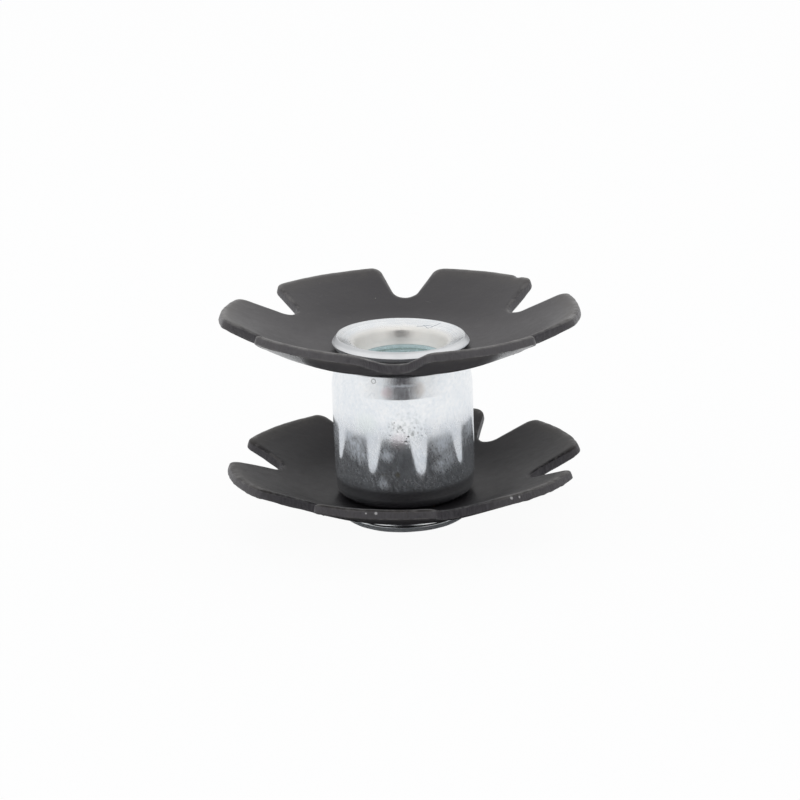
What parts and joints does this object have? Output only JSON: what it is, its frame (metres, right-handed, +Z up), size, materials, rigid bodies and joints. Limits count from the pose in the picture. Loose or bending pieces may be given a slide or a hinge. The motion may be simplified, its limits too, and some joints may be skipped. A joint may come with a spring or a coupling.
{
  "type": "star nut",
  "caption": "Star nut for a bicycle fork steerer: a flared, threaded barrel through two dished star washers whose petals grip the tube",
  "frame": {"origin": "the middle of the bottom flare's rim, on the plane that the nut stands on", "axes": "+Z up the barrel's axis towards the flare that the stem bolt enters; +X to the right and +Y to the back, seen with the upper star's notch at 27 degrees from +X"},
  "size_m": [0.0256, 0.0256, 0.0155],
  "materials": {
    "zinc_plate": "bright bluish zinc plate, drawn along the barrel and softly polished",
    "black_spring_steel": "blackened spring steel, satin, with lighter rubbed edges and faint scratches"
  },
  "bodies": {
    "root": {"threaded_barrel": "zinc_plate", "upper_star_washer": "black_spring_steel", "lower_star_washer": "black_spring_steel"}
  },
  "joints": []
}
